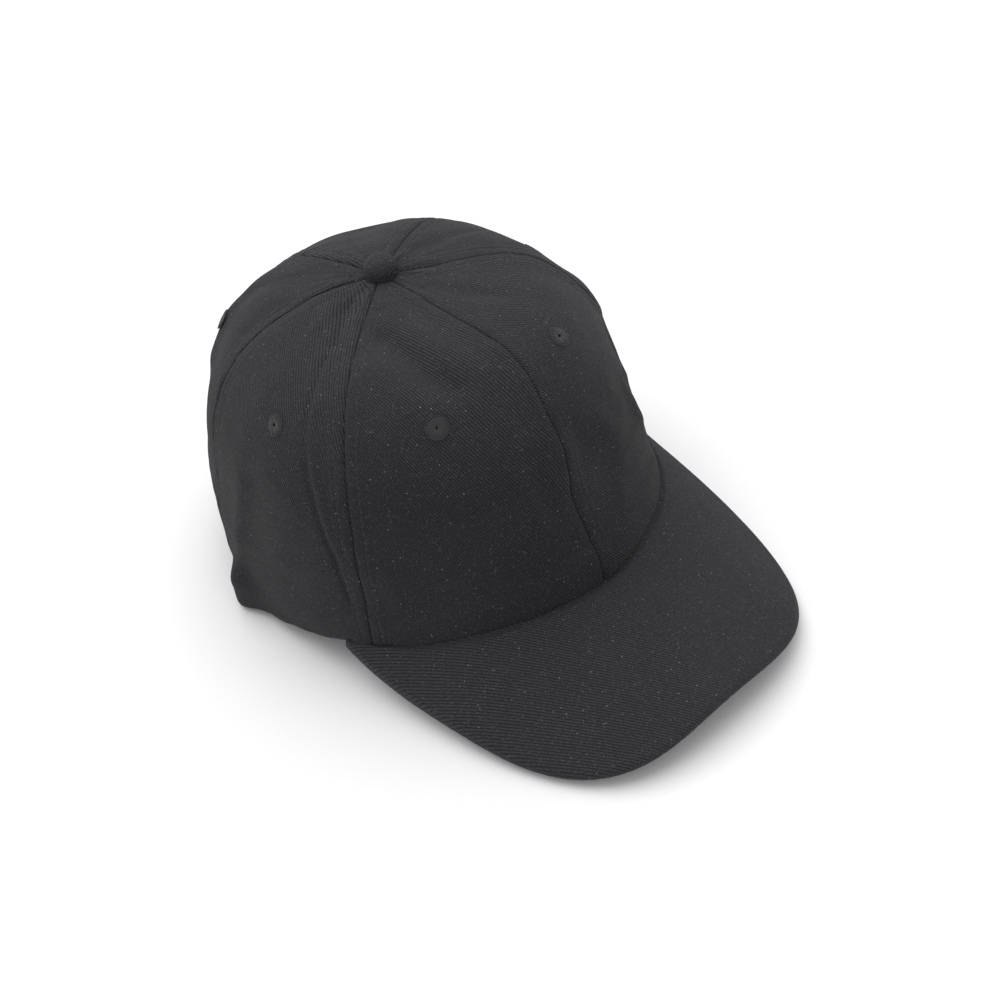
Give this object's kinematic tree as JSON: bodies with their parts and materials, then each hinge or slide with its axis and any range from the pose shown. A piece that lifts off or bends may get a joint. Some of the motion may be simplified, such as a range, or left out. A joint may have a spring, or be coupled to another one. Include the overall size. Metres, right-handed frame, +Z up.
{
  "type": "baseball cap",
  "caption": "Soft six-panel baseball cap with a curved brim, sewn eyelets, a covered top button, an inner sweatband and a buckled self-fabric strap across a rear arch.",
  "frame": {"origin": "middle of the head opening, on the surface that the cap stands on", "axes": "+Z up through the crown, -Y forward over the brim, +X to the wearer's left"},
  "size_m": [0.17, 0.2592, 0.1346],
  "materials": {
    "crown_twill": "matte woven twill",
    "eyelet_thread": "satin stitched thread",
    "tape_cotton": "matte woven tape",
    "sweatband_cotton": "matte twill",
    "label_satin": "satin, blank",
    "brim_plastic": "matte",
    "button_metal": "plain",
    "buckle_metal": "antique satin"
  },
  "bodies": {
    "cap": {"arch_binding": "tape_cotton", "back_panel_left": "crown_twill", "back_panel_right": "crown_twill", "blank_label": "label_satin", "brim_board": "brim_plastic", "brim_top_cover": "crown_twill", "brim_under_cover": "crown_twill", "buckle_frame": "buckle_metal", "buckle_hinge_pin": "buckle_metal", "buckle_tab": "crown_twill", "button_core": "button_metal", "button_cover": "crown_twill", "button_rivet": "button_metal", "button_washer": "button_metal", "eyelet_back_left": "eyelet_thread", "eyelet_back_right": "eyelet_thread", "eyelet_front_left": "eyelet_thread", "eyelet_front_right": "eyelet_thread", "eyelet_side_left": "eyelet_thread", "eyelet_side_right": "eyelet_thread", "front_panel_left": "crown_twill", "front_panel_right": "crown_twill", "seam_tape_back_centre": "tape_cotton", "seam_tape_back_left": "tape_cotton", "seam_tape_back_right": "tape_cotton", "seam_tape_front_centre": "tape_cotton", "seam_tape_front_left": "tape_cotton", "seam_tape_front_right": "tape_cotton", "side_panel_left": "crown_twill", "side_panel_right": "crown_twill", "sweatband": "sweatband_cotton"},
    "strap": {"strap": "crown_twill"},
    "lever": {"buckle_lever": "buckle_metal"}
  },
  "joints": [
    {"name": "strap_adjust", "type": "hinge", "parent": "cap", "child": "strap", "pos_m": [0, 0.02078, 0.014], "axis": [0, 0, 1], "range_deg": [-10, 10]},
    {"name": "buckle_lever_hinge", "type": "hinge", "parent": "cap", "child": "lever", "pos_m": [-0.02849, 0.09489, 0.014], "axis": [0, 0, 1], "range_deg": [0, 95]}
  ]
}
